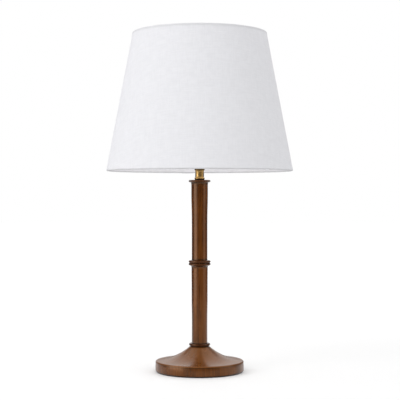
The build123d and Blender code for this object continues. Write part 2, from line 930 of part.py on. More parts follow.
# --------------------------------------------------------------------------- shade
def wall_point(up, depth):
    """(radius, height) in the wall: up the slope from the bottom rim, and in from its face."""
    radius = shade_bottom_radius - up * slope_in - depth * slope_up
    height = shade_bottom + up * slope_up - depth * slope_in
    return (radius, height)


def wall_layer(depth, thickness):
    """Cone between the two rolled edges, at a depth in the wall."""
    low = hem_radius
    high = shade_slope - hem_radius
    return turned(
        wall_point(low, depth + thickness),
        wall_point(low, depth),
        wall_point(high, depth),
        wall_point(high, depth + thickness),
    )


def shade_fabric():
    """Linen on the outside of the lining."""
    return wall_layer(0, fabric_thickness)


def shade_lining():
    """Stiff lining that gives the shade its shape."""
    return wall_layer(lining_depth, lining_thickness)


def ring_point(at_top):
    """(radius, height) of the centre of a rim's wire."""
    return wall_point(shade_slope - hem_radius if at_top else hem_radius, ring_depth)


def rim_wire(at_top):
    """Wire ring inside a rim of the shade."""
    radius, height = ring_point(at_top)
    return Pos(0, 0, height) * Torus(radius, ring_wire_radius)


def arm_notches():
    """Slits where the turned-in edge of the top hem goes round the arms of the spider."""
    ring_radius, ring_level = ring_point(at_top=True)
    half_width = spider_wire_radius + loose_gap
    inner_radius = ring_radius - spider_rise_start
    arm = rod(half_width, (inner_radius, 0, ring_level), (ring_radius, 0, ring_level))
    slit = Box(ring_radius - inner_radius, 2 * half_width, hem_turn_in)
    middle = ((inner_radius + ring_radius) / 2, 0, ring_level - hem_turn_in / 2)
    return [Rot(0, 0, angle) * (arm + Pos(*middle) * slit) for angle in spider_angles]


def rim_hem(at_top):
    """Fabric rolled over a rim and its wire, and turned up inside."""
    def corner(up, depth, turn=0):
        point = wall_point(shade_slope - up if at_top else up, depth)
        return (*point, -turn if at_top else turn) if turn else point

    inner_depth = hem_depth - fabric_thickness
    hem = turned(
        corner(hem_turn_in, hem_depth),
        corner(hem_radius, hem_depth),
        corner(hem_radius, 0, 180),
        corner(hem_radius, fabric_thickness),
        corner(hem_radius, inner_depth, -180),
        corner(hem_turn_in, inner_depth),
    )
    return hem - arm_notches() if at_top else hem


def spider():
    """Washer with three wire arms that rise to the top ring."""
    hub = pipe(spider_washer_radius, spider_bore_radius, spider_bottom, spider_top)
    ring_radius, ring_level = ring_point(at_top=True)
    arm_level = spider_bottom + spider_wire_radius
    rise_start = ring_radius - spider_rise_start
    arm_path = FilletPolyline(
        (spider_root_radius, 0, arm_level),
        (rise_start, 0, arm_level),
        (rise_start + spider_rise_length, 0, ring_level),
        (ring_radius - ring_wire_radius - fit_gap, 0, ring_level),
        radius=spider_bend,
    )
    arm = bent_wire(spider_wire_radius, arm_path)
    for angle in spider_angles:
        hub += Rot(0, 0, angle) * arm
    return hub


# --------------------------------------------------------------------------- finial
def finial():
    """Turned knob that screws down on the spider."""
    bore = stud_radius + thread_gap
    bore_top = finial_bottom + finial_bore_depth
    base_top_level = finial_bottom + finial_base_height
    ball_start = base_top_level + finial_neck_height
    rise = sqrt(finial_ball_radius**2 - finial_neck_radius**2)
    ball_top = ball_start + rise + finial_ball_radius
    ball_turn = 90 + degrees(asin(rise / finial_ball_radius))
    edge_radius = finial_base_radius - arc_depth(finial_base_height, finial_base_turn)
    return turned(
        (bore, finial_bottom),
        (edge_radius, finial_bottom),
        (edge_radius, base_top_level, finial_base_turn),
        (finial_neck_radius, ball_start, -finial_neck_turn),
        (0, ball_top, ball_turn),
        (0, bore_top),
        (bore, bore_top),
    )


# --------------------------------------------------------------------------- one file per piece
pieces = {
    "base_foot": base_foot(),
    "felt_pad": felt_pad(),
    "counterweight": counterweight(),
    "base_washer": base_washer(),
    "base_lock_washer": base_lock_washer(),
    "base_nut": base_nut(),
    "cord_bushing": cord_bushing(),
    "foot_ring": foot_ring(),
    "lower_column": lower_column(),
    "middle_ring": middle_ring(),
    "upper_column": upper_column(),
    "top_collar": top_collar(),
    "threaded_tube": threaded_tube(),
    "neck_washer": neck_washer(),
    "brass_neck": brass_neck(),
    "harp_saddle": harp_saddle(),
    "saddle_nut": saddle_nut(),
    "harp_wire": harp_wire(),
    "harp_sleeve_left": sleeve(-1),
    "harp_sleeve_right": sleeve(1),
    "harp_stud": harp_stud(),
    "socket_cap": socket_cap(),
    "cap_screw": cap_screw(),
    "socket_shell": socket_shell(),
    "socket_liner": socket_liner(),
    "socket_body": socket_body(),
    "terminal_screws": terminal_screws(),
    "screw_shell": screw_shell(),
    "centre_contact": centre_contact(),
    "switch_shaft": switch_shaft(),
    "switch_knob": switch_knob(),
    "bulb_glass": bulb_glass(),
    "bulb_cap": bulb_cap(),
    "bulb_insulator": bulb_insulator(),
    "bulb_contact": bulb_contact(),
    "bulb_stem": bulb_stem(),
    "bulb_filament": bulb_filament(),
    "shade_fabric": shade_fabric(),
    "shade_lining": shade_lining(),
    "shade_top_wire": rim_wire(at_top=True),
    "shade_bottom_wire": rim_wire(at_top=False),
    "shade_top_hem": rim_hem(at_top=True),
    "shade_bottom_hem": rim_hem(at_top=False),
    "shade_spider": spider(),
    "finial": finial(),
}

os.makedirs("parts", exist_ok=True)
for name, piece in pieces.items():
    export_step(piece, f"parts/{name}.step")
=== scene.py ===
from math import cos, hypot, pi, radians, sin, tan

import bpy
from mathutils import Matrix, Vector


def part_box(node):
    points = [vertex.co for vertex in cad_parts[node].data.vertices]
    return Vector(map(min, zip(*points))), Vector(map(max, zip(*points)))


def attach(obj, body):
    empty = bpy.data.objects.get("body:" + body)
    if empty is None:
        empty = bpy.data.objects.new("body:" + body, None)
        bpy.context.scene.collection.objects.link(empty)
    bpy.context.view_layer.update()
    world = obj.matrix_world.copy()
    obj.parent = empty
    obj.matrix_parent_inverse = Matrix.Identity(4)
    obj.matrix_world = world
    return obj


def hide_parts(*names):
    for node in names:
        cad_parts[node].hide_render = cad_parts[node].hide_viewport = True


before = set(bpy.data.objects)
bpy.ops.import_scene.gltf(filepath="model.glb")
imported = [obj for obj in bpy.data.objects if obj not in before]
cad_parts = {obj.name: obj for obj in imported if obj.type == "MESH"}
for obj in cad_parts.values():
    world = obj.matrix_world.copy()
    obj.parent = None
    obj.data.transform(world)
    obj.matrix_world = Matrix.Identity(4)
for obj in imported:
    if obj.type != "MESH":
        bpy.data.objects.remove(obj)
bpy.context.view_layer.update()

mm = 0.001

# ---------------------------------------------------------------------------- turned foot
# The foot is one blank of walnut, turned on a lathe, stained dark and sprayed with satin
# lacquer. Its colour is darkened in the groove under its bead and where it meets the next piece,
# partly as stain and partly as painted shade, and its top is painted lighter, as painted light.


class Signal:
    """A node's output. Each sum on it adds a Math node to its material."""

    def __init__(self, finish, socket):
        self.finish = finish
        self.socket = socket

    def __add__(self, other):
        return self.finish.maths("ADD", self, other)

    def __sub__(self, other):
        return self.finish.maths("SUBTRACT", self, other)

    def __rsub__(self, other):
        return self.finish.maths("SUBTRACT", other, self)

    def __mul__(self, other):
        return self.finish.maths("MULTIPLY", self, other)

    def __truediv__(self, other):
        return self.finish.maths("DIVIDE", self, other)

    __radd__ = __add__
    __rmul__ = __mul__


class Finish:
    """The nodes of one material, or of the world."""

    def __init__(self, name, world=None):
        self.material = world or bpy.data.materials.new(name)
        self.material.use_nodes = True
        self.tree = self.material.node_tree
        self.tree.nodes.clear()

    def add(self, kind, sockets=None, output=0, **settings):
        """Adds a node, sets its settings, and links or sets its sockets."""
        node = self.tree.nodes.new("ShaderNode" + kind)
        for name, value in settings.items():
            setattr(node, name, value)
        for name, value in (sockets or {}).items():
            if isinstance(value, Signal):
                self.tree.links.new(value.socket, node.inputs[name])
            else:
                node.inputs[name].default_value = value
        return Signal(self, node.outputs[output]) if node.outputs else None

    def maths(self, operation, *values):
        return self.add("Math", dict(enumerate(values)), operation=operation)

    def mix(self, low, high, factor):
        """Colour between two colours."""
        return self.add("Mix", {0: factor, 6: low, 7: high}, output=2, data_type="RGBA")

    def here(self):
        return self.add("TexCoord", output="Object")

    def seen(self):
        """1 for rays from the camera, also by way of a reflection or clear glass."""
        camera, glossy, through = [self.add("LightPath", output=f"Is {kind} Ray")
                                   for kind in ("Camera", "Glossy", "Transmission")]
        return self.maths("MAXIMUM", self.maths("MAXIMUM", camera, glossy), through)

    def part_of_place(self, place, letter):
        return self.add("SeparateXYZ", {0: place}, output=letter)

    def stretched(self, place, stretch):
        return self.add("Mapping", {"Vector": place, "Scale": stretch})

    def noise(self, place, scale, detail=2.0, roughness=0.5):
        """Soft random pattern, with this many features to the metre."""
        sockets = {"Vector": place, "Scale": scale, "Detail": detail, "Roughness": roughness}
        return self.add("TexNoise", sockets)

    def rise(self, value, low, high):
        """0 below low, 1 above high, and smooth between them."""
        sockets = {"Value": value, "From Min": low, "From Max": high}
        return self.add("MapRange", sockets, interpolation_type="SMOOTHSTEP")

    def close_to(self, value, level, reach):
        """1 at a level, and 0 further from it than its reach."""
        return 1 - self.rise(self.maths("ABSOLUTE", value - level), 0.0, reach)

    def darkened(self, colour, dark, height, levels):
        """Colour that turns dark near some levels, given as (height, reach, strength)."""
        for level, reach, strength in levels:
            colour = self.mix(colour, dark, self.close_to(height, level, reach) * strength)
        return colour

    def surface(self, sockets, height=None, depth=0.0):
        """Ends the material in its shader, with relief this many metres deep."""
        if height is not None:
            relief = self.add("Bump", {"Height": height, "Distance": depth})
            sockets = {**sockets, "Normal": relief}
        self.add("OutputMaterial", {"Surface": self.add("BsdfPrincipled", sockets)})
        return self.material


def dress(material, *nodes):
    """Gives CAD nodes a material."""
    for name in nodes:
        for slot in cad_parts[name].material_slots:
            slot.material = material


walnut_deep = (0.040, 0.0090, 0.0006, 1)
walnut_middle = (0.084, 0.0205, 0.0012, 1)
walnut_warm = (0.150, 0.0430, 0.0035, 1)
walnut_painted_top_light = (0.270, 0.0950, 0.0170, 1)
shade_and_stain_colour = (0.009, 0.0028, 0.0008, 1)


def walnut(name, grain, stain_and_shade_levels, streaked=0.30, stained=0.0, painted_top_light=0.0, painted_top_light_above=0.0,
           roughness=0.17, gloss=0.65):
    """Lacquered walnut. grain gives the place to read, stretched along the wood's grain, and
    stain_and_shade_levels the levels where the colour is darkened, partly as stain and partly as
    painted shade, as (height, reach, strength). streaked is the share of fine figure, stained that
    of darker wood, and painted_top_light that of lighter colour painted above a height, as painted
    light from above."""
    finish = Finish(name)
    here = finish.here()
    along = grain(finish, here)
    figure = finish.noise(along, 55, detail=3, roughness=0.55)
    streaks = finish.noise(along, 420, detail=2, roughness=0.6)
    pores = finish.rise(finish.noise(along, 2400, detail=1), 0.60, 0.72)
    clouds = finish.noise(here, 26, detail=2)
    mixed = figure * (0.85 - streaked) + streaks * streaked + clouds * 0.15
    tone = finish.rise(mixed, 0.36, 0.62)
    colour = finish.mix(walnut_deep, walnut_middle, finish.rise(tone, 0.0, 0.55))
    colour = finish.mix(colour, walnut_warm, finish.rise(tone, 0.45, 1.0) * 0.6)
    height = finish.part_of_place(here, "Z")
    # above this height the colour is painted lighter, as painted light from above
    upper = finish.rise(height, painted_top_light_above - 2 * mm, painted_top_light_above + 2 * mm)
    colour = finish.mix(colour, walnut_painted_top_light, upper * painted_top_light)
    colour = finish.mix(colour, walnut_deep, pores * (0.45 - stained * 0.45) + stained)
    sockets = {
        # dark colour at the given levels: partly stain, partly painted shade
        "Base Color": finish.darkened(colour, shade_and_stain_colour, height, stain_and_shade_levels),
        "Roughness": roughness + clouds * 0.10 + pores * 0.08,
        "Specular IOR Level": gloss,
        "Specular Tint": (1.0, 0.58, 0.32, 1),
        "Coat Weight": 0.15 * gloss,
        "Coat Roughness": 0.12,
    }
    return finish.surface(sockets, streaks * 0.6 - pores, 0.03 * mm)


foot_low, foot_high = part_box("base_foot")
bead_foot = foot_low.z + 16.4 * mm


def round_grain(finish, here):
    """Down the edge of the foot and in towards its neck."""
    x = finish.part_of_place(here, "X")
    y = finish.part_of_place(here, "Y")
    z = finish.part_of_place(here, "Z")
    radius = finish.maths("SQRT", x * x + y * y)
    sockets = {
        "X": x / radius * foot_high.x,
        "Y": y / radius * foot_high.x,
        "Z": (z - radius) * 0.06,
    }
    return finish.add("CombineXYZ", sockets)


# a painted dark line for the shade and dark reflection under the bead, and darker bands at the
# foot's base and neck, partly stain and partly painted shade
foot_stain_and_shade_levels = [
    (bead_foot - 0.3 * mm, 1.2 * mm, 0.85),
    (foot_low.z, 1.8 * mm, 0.7),
    (foot_high.z, 1.5 * mm, 0.7),
]
# the top of the foot, above its bead, is painted lighter, as painted light from above
foot_walnut = walnut("walnut_foot", round_grain, foot_stain_and_shade_levels, streaked=0.5, painted_top_light=0.35,
                     painted_top_light_above=bead_foot, roughness=0.23, gloss=0.75)
dress(foot_walnut, "base_foot")

# ---------------------------------------------------------------------------- felt
# A disc of dense brown wool felt is glued under the foot and closes its recess. It is cut a
# little inside the edge, and its cut edge is soft.
felt_low, felt_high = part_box("felt_pad")
felt_radius = felt_high.x
felt_rise = (0, 0, felt_high.z - felt_low.z)
felt_sides = 180
felt_edge = 3 * mm                # rings of faces, so that the bevel stays at the edge
felt_border = 30 * mm
felt_softness = 0.6 * mm
bpy.ops.object.select_all(action="DESELECT")
bpy.ops.mesh.primitive_circle_add(vertices=felt_sides, radius=felt_radius, fill_type="NGON",
                                  location=(0, 0, felt_low.z))
felt = bpy.context.object
felt.name = "felt_disc"
bpy.ops.object.mode_set(mode="EDIT")
bpy.ops.mesh.inset(thickness=felt_edge)
bpy.ops.mesh.inset(thickness=felt_border)
bpy.ops.mesh.select_all(action="SELECT")
bpy.ops.mesh.extrude_region_move(TRANSFORM_OT_translate={"value": felt_rise})
bpy.ops.mesh.select_all(action="SELECT")
bpy.ops.mesh.normals_make_consistent(inside=False)
bpy.ops.object.mode_set(mode="OBJECT")
bevel = felt.modifiers.new("soft_edge", "BEVEL")
bevel.width = felt_softness
bevel.segments = 3
bevel.angle_limit = radians(60)
bpy.ops.object.modifier_apply(modifier=bevel.name)
bpy.ops.object.transform_apply(location=True, rotation=True, scale=True)
bpy.ops.object.shade_smooth_by_angle(angle=radians(50))

wool = Finish("wool_felt")
fibres = wool.noise(wool.here(), 2600, detail=4, roughness=0.7)
tufts = wool.noise(wool.here(), 240, detail=2)
felt_tone = fibres * 0.7 + tufts * 0.3
felt_colour = wool.mix((0.016, 0.011, 0.008, 1), (0.050, 0.035, 0.026, 1), felt_tone)
felt_sockets = {"Base Color": felt_colour, "Roughness": 0.95, "Sheen Weight": 0.3}
felt.data.materials.append(wool.surface(felt_sockets, fibres, 0.25 * mm))
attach(felt, "lamp")
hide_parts("felt_pad")

# ---------------------------------------------------------------------------- weight and nut
# A cast-iron disc in the recess keeps the lamp steady. A zinc-plated washer, lock washer and
# nut on the lower end of the tube pull it, the foot and the column together.
casting = Finish("cast_iron")
sand = casting.noise(casting.here(), 900, detail=4, roughness=0.65)
iron_colour = casting.mix((0.020, 0.020, 0.022, 1), (0.075, 0.072, 0.070, 1), sand)
iron_sockets = {"Base Color": iron_colour, "Metallic": 0.7, "Roughness": 0.55 + sand * 0.25}
dress(casting.surface(iron_sockets, sand, 0.3 * mm), "counterweight")


def plated(name, dull, bright, roughness, grit=1800):
    """Plated or drawn metal, a little uneven."""
    finish = Finish(name)
    patches = finish.noise(finish.here(), 160, detail=3)
    fine = finish.noise(finish.here(), grit, detail=2)
    sockets = {
        "Base Color": finish.mix(dull, bright, patches),
        "Metallic": 1.0,
        "Roughness": roughness + patches * 0.10 + fine * 0.05,
    }
    return finish.surface(sockets, fine, 0.01 * mm)


zinc = plated("zinc_plate", (0.42, 0.42, 0.40, 1), (0.66, 0.66, 0.63, 1), 0.26)
dress(zinc, "base_washer", "base_lock_washer", "base_nut", "saddle_nut")

# ---------------------------------------------------------------------------- cord bushing
# A black nylon bushing lines the cord hole at the back of the foot. It is pushed in, and its
# flange sits in a flat spotface.


def moulded(name, colour, roughness, pitted=0.02):
    """Moulded plastic with the faint texture of its mould."""
    finish = Finish(name)
    mould = finish.noise(finish.here(), 1400, detail=2)
    marks = finish.noise(finish.here(), 90, detail=3)
    lighter = tuple(min(1.0, part * 1.35 + 0.004) for part in colour[:3]) + (1,)
    sockets = {
        "Base Color": finish.mix(colour, lighter, marks),
        "Roughness": roughness + marks * 0.12,
    }
    return finish.surface(sockets, mould, pitted * mm)


dress(moulded("black_nylon", (0.012, 0.011, 0.010, 1), 0.45), "cord_bushing")

# ---------------------------------------------------------------------------- turned column
# Foot ring, two column lengths, the double-beaded ring between them and the thin top collar
# are turned in walnut with upright grain, joined by tenons and finished like the foot.


def upright_grain(finish, here):
    return finish.stretched(here, (1, 1, 0.05))


def crossing_grain(finish, here):
    return finish.stretched(here, (0.06, 1, 1))


ring_low, ring_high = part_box("middle_ring")
foot_ring_low, foot_ring_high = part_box("foot_ring")
column_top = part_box("upper_column")[1].z
ring_groove = ring_low.z + 6.8 * mm

# darker bands at the joints, deepest under the collar: partly stain, partly painted shade
column_stain_and_shade_levels = [
    (foot_ring_high.z, 3 * mm, 0.75),
    (ring_low.z, 3 * mm, 0.7),
    (ring_high.z, 4 * mm, 0.8),
    (column_top, 6 * mm, 0.85),
]
column_walnut = walnut("walnut_column", upright_grain, column_stain_and_shade_levels)
dress(column_walnut, "lower_column", "upper_column")

# darker colour in the groove between the beads and at the ring ends: painted shade in the creases,
# partly stain
ring_stain_and_shade_levels = [
    (ring_groove, 1.3 * mm, 0.9),
    (ring_low.z, 1.8 * mm, 0.6),
    (foot_ring_low.z, 1.8 * mm, 0.85),
    (column_top, 1.0 * mm, 0.6),
]
ring_walnut = walnut("walnut_ring", crossing_grain, ring_stain_and_shade_levels, stained=0.7, roughness=0.15,
                     gloss=0.45)
dress(ring_walnut, "foot_ring", "middle_ring", "top_collar")

# ---------------------------------------------------------------------------- threaded tube
# A steel tube, threaded from end to end and zinc plated yellow, runs from the nut under the
# foot to the lampholder. The cord goes up inside it.
thread_pitch = 0.94 * mm
tube_metal = Finish("yellow_zinc")
tube_height = tube_metal.part_of_place(tube_metal.here(), "Z")
tube_thread = tube_metal.maths("SINE", tube_height * (2 * pi / thread_pitch))
tube_patches = tube_metal.noise(tube_metal.here(), 220, detail=3)
tube_sockets = {
    "Base Color": tube_metal.mix((0.40, 0.34, 0.20, 1), (0.62, 0.55, 0.36, 1), tube_patches),
    "Metallic": 1.0,
    "Roughness": 0.28 + tube_patches * 0.12,
}
dress(tube_metal.surface(tube_sockets, tube_thread, 0.3 * mm), "threaded_tube")

# ---------------------------------------------------------------------------- brass neck
# A spool turned from brass bar and satin lacquered, with a bead at its foot and a flange at its
# top. A dark fibre washer under it keeps the nut from bruising the collar.
fibre = Finish("dark_fibre")
fibre_threads = fibre.noise(fibre.here(), 1900, detail=4, roughness=0.7)
fibre_sockets = {
    "Base Color": fibre.mix((0.010, 0.008, 0.007, 1), (0.035, 0.028, 0.022, 1), fibre_threads),
    "Roughness": 0.8,
}
dress(fibre.surface(fibre_sockets, fibre_threads, 0.05 * mm), "neck_washer")

brass_shadow = (0.32, 0.185, 0.060, 1)
brass_body = (0.45, 0.285, 0.105, 1)
brass_painted_shade_colour = (0.045, 0.025, 0.009, 1)


def turned_brass(name, roughness=0.09, axis_stretch=(0.02, 0.02, 1), painted_shade_levels=()):
    """Satin brass with the fine rings that turning and polishing leave round it.
    painted_shade_levels gives the levels where dark colour is painted as shade, as
    (height, reach, strength)."""
    finish = Finish(name)
    here = finish.here()
    rings = finish.noise(finish.stretched(here, axis_stretch), 5200, detail=2, roughness=0.6)
    handling = finish.noise(here, 70, detail=3, roughness=0.6)
    specks = finish.rise(finish.noise(here, 1500, detail=1), 0.66, 0.76)
    colour = finish.mix(brass_shadow, brass_body, finish.rise(handling, 0.25, 0.60))
    colour = finish.mix(colour, brass_shadow, specks * 0.5)
    height = finish.part_of_place(here, "Z")
    sockets = {
        # dark colour painted at the given levels, as painted shade
        "Base Color": finish.darkened(colour, brass_painted_shade_colour, height, painted_shade_levels),
        "Metallic": 1.0,
        "Roughness": roughness + handling * 0.04 + rings * 0.06,
    }
    return finish.surface(sockets, rings, 0.004 * mm)


neck_low, neck_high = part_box("brass_neck")
# the flange at the top and the underside of the bottom bead are painted dark, as painted shade and
# dark reflection
neck_painted_shade_levels = [(neck_high.z, 6.0 * mm, 1.0), (neck_low.z, 2.4 * mm, 0.8)]
dress(turned_brass("satin_brass_neck", painted_shade_levels=neck_painted_shade_levels), "brass_neck")
dress(turned_brass("satin_brass_turned"), "harp_stud", "finial")

# ---------------------------------------------------------------------------- harp saddle
# The saddle is a strip of brass, pressed and bent up at both ends. A hexagon nut on the tube
# holds it down on the neck.
drawn_brass = turned_brass("satin_brass_drawn", roughness=0.15, axis_stretch=(1, 1, 0.03))
dress(drawn_brass, "harp_saddle", "harp_wire", "harp_sleeve_left", "harp_sleeve_right")

# ---------------------------------------------------------------------------- lampholder
# The lampholder screws on to the tube: a spun brass cap with a set screw, a brass shell with a
# card liner, and inside them a moulded body with two terminals, a contact and a screw shell.
spun_brass = turned_brass("satin_brass_spun", roughness=0.15)
dress(spun_brass, "socket_cap", "socket_shell")
bright_brass = plated("bright_brass", (0.62, 0.42, 0.16, 1), (0.84, 0.62, 0.28, 1), 0.14)
dress(bright_brass, "cap_screw", "terminal_screws", "centre_contact")

card = Finish("varnished_card")
card_fibres = card.noise(card.stretched(card.here(), (1, 1, 0.3)), 1700, detail=4, roughness=0.7)
card_sockets = {
    "Base Color": card.mix((0.10, 0.065, 0.035, 1), (0.22, 0.150, 0.085, 1), card_fibres),
    "Roughness": 0.5 + card_fibres * 0.2,
}
dress(card.surface(card_sockets, card_fibres, 0.04 * mm), "socket_liner")
dress(moulded("dark_phenolic", (0.018, 0.014, 0.012, 1), 0.35), "socket_body")
aluminium = plated("rolled_aluminium", (0.62, 0.62, 0.62, 1), (0.82, 0.82, 0.82, 1), 0.2)
dress(aluminium, "screw_shell", "bulb_cap")

# ---------------------------------------------------------------------------- switch
# A fluted black knob is pushed on to the switch's steel shaft, which comes out through the
# front of the shell.
dress(moulded("black_knob", (0.008, 0.007, 0.007, 1), 0.18, pitted=0.005), "switch_knob")
shaft_steel = plated("shaft_steel", (0.40, 0.40, 0.40, 1), (0.58, 0.58, 0.57, 1), 0.2)
dress(shaft_steel, "switch_shaft")

# ---------------------------------------------------------------------------- bulb
# A frosted bulb: blown glass with a white lining, on an aluminium cap with a black glass
# insulator and a solder tip. The stem inside carries the filament.
frosting = Finish("frosted_glass")
frost = frosting.noise(frosting.here(), 3000, detail=2)
bloom = frosting.noise(frosting.here(), 45, detail=2)
frost_sockets = {
    "Base Color": frosting.mix((0.86, 0.86, 0.84, 1), (0.93, 0.93, 0.915, 1), bloom),
    "Roughness": 0.26 + frost * 0.08,
    "Coat Weight": 0.4,
    "Coat Roughness": 0.08,
}
dress(frosting.surface(frost_sockets, frost, 0.004 * mm), "bulb_glass")

clear = Finish("clear_glass")
clear_ripple = clear.noise(clear.here(), 320, detail=2)
clear_sockets = {
    "Base Color": clear.mix((0.90, 0.94, 0.94, 1), (0.96, 0.98, 0.98, 1), clear_ripple),
    "Roughness": 0.04 + clear_ripple * 0.04,
    "Transmission Weight": 0.9,
    "IOR": 1.5,
}
dress(clear.surface(clear_sockets, clear_ripple, 0.05 * mm), "bulb_stem")
dress(moulded("black_glass", (0.006, 0.006, 0.009, 1), 0.08, pitted=0.003), "bulb_insulator")
solder = plated("solder", (0.40, 0.40, 0.42, 1), (0.62, 0.62, 0.64, 1), 0.3, grit=900)
dress(solder, "bulb_contact")
tungsten = plated("tungsten", (0.16, 0.16, 0.17, 1), (0.30, 0.30, 0.31, 1), 0.35)
dress(tungsten, "bulb_filament")

# ---------------------------------------------------------------------------- shade frame
# The spider is a brass washer with three wires welded to it. Their ends reach the top wire
# ring. A second ring stiffens the bottom rim, and a white styrene lining stands between them.
dress(drawn_brass, "shade_spider")
dress(zinc, "shade_top_wire", "shade_bottom_wire")

styrene = Finish("white_styrene")
styrene_haze = styrene.noise(styrene.here(), 30, detail=3)
styrene_grain = styrene.noise(styrene.here(), 2200, detail=2)
styrene_sockets = {
    "Base Color": styrene.mix((0.86, 0.855, 0.845, 1), (0.90, 0.895, 0.89, 1), styrene_haze),
    "Roughness": 0.42 + styrene_haze * 0.1,
    # the lining glows faintly: painted light, standing in for daylight that comes through the
    # shade
    "Emission Color": (0.95, 0.95, 0.98, 1),
    "Emission Strength": 0.34,
}
dress(styrene.surface(styrene_sockets, styrene_grain, 0.01 * mm), "shade_lining")

# ---------------------------------------------------------------------------- shade cloth
# White linen is cut flat as part of a ring, glued to the lining and rolled round both wires,
# with its edges turned in. Its ends overlap in a seam at the back.
cloth_thickness = 0.5 * mm
cloth_wall_depth = 0.3 * mm       # of the middle of the cloth, behind the face of the CAD wall
roll_radius = 2.5 * mm            # of the middle of the cloth round a wire
roll_depth = 2.4 * mm
roll_ease = 6 * mm                # the wall leaves the bulge of the roll over this length
turn_in = 6.5 * mm
glued_depth = 1.65 * mm           # of the turned-in edge, where it is glued to the lining
roll_steps = 10
turn_in_steps = 4
wall_steps = 26
wall_crowding = 0.9               # more rows near the rims, where the wall leaves the rolls
seam_angle = 98                   # degrees; the seam is at the back, beside an arm
seam_lap = 4                      # degrees, one step of the mesh each
seam_ramp = 5
seam_gap = 0.05 * mm
cloth_clearance = 0.12 * mm       # keeps the waves of the cloth off the wires and the lining
wave_height = 0.06 * mm
ripple_height = 0.04 * mm
edge_sway = 0.5 * mm              # the turned-in edges are cut by hand
edge_nicks = 0.3 * mm
arm_angles = [90, 210, 330]

skin_low, skin_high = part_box("shade_fabric")
wall_foot = Vector((skin_high.x, skin_low.z))
wall_head = Vector((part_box("shade_top_hem")[1].x, skin_high.z))
wall_length = (wall_head - wall_foot).length
wall_up = (wall_head - wall_foot) / wall_length
wall_in = Vector((-wall_up.y, wall_up.x))


def ease(share):
    share = min(max(share, 0.0), 1.0)
    return share * share * (3 - 2 * share)


def cloth_profile():
    """(up, depth, up part and depth part of the outward direction) along the cloth."""
    tucked = []
    for step in range(1, turn_in_steps + 1):
        share = step / turn_in_steps
        depth = (roll_depth + roll_radius) * (1 - ease(share)) + glued_depth * ease(share)
        tucked.append((turn_in * share, depth, 0, 1))
    rows = tucked[::-1]
    for step in range(roll_steps):
        turn = pi * step / roll_steps
        rows.append((-roll_radius * sin(turn), roll_depth + roll_radius * cos(turn),
                     -sin(turn), cos(turn)))
    for step in range(wall_steps + 1):
        share = step / wall_steps
        up = wall_length * (share - wall_crowding * sin(2 * pi * share) / (2 * pi))
        flat = ease(min(up, wall_length - up) / roll_ease)
        depth = (roll_depth - roll_radius) * (1 - flat) + cloth_wall_depth * flat
        rows.append((up, depth, 0, -1))
    for step in range(1, roll_steps):
        turn = pi * step / roll_steps
        rows.append((wall_length + roll_radius * sin(turn), roll_depth - roll_radius * cos(turn),
                     sin(turn), -cos(turn)))
    rows.append((wall_length, roll_depth + roll_radius, 0, 1))
    return rows + [(wall_length - up, *rest) for up, *rest in tucked]


rows = cloth_profile()
row_lengths = [0.0]
for (up, depth, *_), (next_up, next_depth, *_) in zip(rows, rows[1:]):
    row_lengths.append(row_lengths[-1] + hypot(next_up - up, next_depth - depth))
foot_row = turn_in_steps + roll_steps
head_row = foot_row + wall_steps
columns = 360 + seam_lap
cone_turn = -wall_up.x            # radians of the flat cut to each radian round the shade
flat_foot = wall_foot.x / cone_turn


def cloth_point(column, row):
    """Place of a point of the cloth: rolled on the cone, lifted where it overlaps itself."""
    up, depth, out_up, out_depth = rows[row]
    turn = radians(seam_angle + column)
    lift = ease((column - 360 + seam_ramp) / seam_ramp) * (cloth_thickness + seam_gap)
    lift += cloth_clearance + wave_height * sin(5 * turn + 30 * up)
    lift += ripple_height * sin(13 * turn + 55 * up + 1)
    if row < turn_in_steps or row > head_row + roll_steps:
        sway = edge_sway * sin(7 * turn) + edge_nicks * sin(31 * turn + 2)
        up += sway if row < turn_in_steps else -sway
    place = wall_foot + wall_up * (up + out_up * lift) + wall_in * (depth + out_depth * lift)
    return Vector((place.x * cos(turn), place.x * sin(turn), place.y))


def flat_point(column, row):
    """Place of the same point in the flat cut, in metres."""
    reach = flat_foot - (row_lengths[row] - row_lengths[foot_row])
    turn = radians(column - columns / 2) * cone_turn
    return reach * sin(turn), flat_foot - reach * cos(turn)


bpy.ops.object.select_all(action="DESELECT")
bpy.ops.mesh.primitive_grid_add(x_subdivisions=columns, y_subdivisions=len(rows) - 1, size=1)
cloth = bpy.context.object
cloth.name = "shade_cloth"
grid_place = [(round((v.co.x + 0.5) * columns), round((v.co.y + 0.5) * (len(rows) - 1)))
              for v in cloth.data.vertices]
flat_cut = cloth.data.uv_layers[0]
flat_cut.name = "flat_cut"
for loop in cloth.data.loops:
    flat_cut.data[loop.index].uv = flat_point(*grid_place[loop.vertex_index])
for vertex, (column, row) in zip(cloth.data.vertices, grid_place):
    vertex.co = cloth_point(column, row)
bpy.ops.object.mode_set(mode="EDIT")
bpy.ops.mesh.select_mode(type="FACE")
bpy.ops.mesh.select_all(action="DESELECT")
bpy.ops.object.mode_set(mode="OBJECT")

# The turned-in edge is snipped where it goes round an arm of the spider.
arm_columns = [(angle - seam_angle) % 360 for angle in arm_angles]
snip_row = head_row + roll_steps // 2


def snipped(face):
    places = [grid_place[index] for index in face.vertices]
    middle = sum(column for column, _ in places) / len(places)
    lowest = min(row for _, row in places)
    return lowest >= snip_row and any(abs(middle - arm) < 1 for arm in arm_columns)


for face in cloth.data.polygons:
    face.select = snipped(face)
bpy.ops.object.mode_set(mode="EDIT")
bpy.ops.mesh.delete(type="FACE")
bpy.ops.mesh.select_all(action="SELECT")
bpy.ops.mesh.normals_make_consistent(inside=False)
bpy.ops.object.mode_set(mode="OBJECT")
thickness = cloth.modifiers.new("thickness", "SOLIDIFY")
thickness.thickness = cloth_thickness
thickness.offset = 0
bpy.ops.object.modifier_apply(modifier=thickness.name)
bpy.ops.object.shade_smooth_by_angle(angle=radians(50))

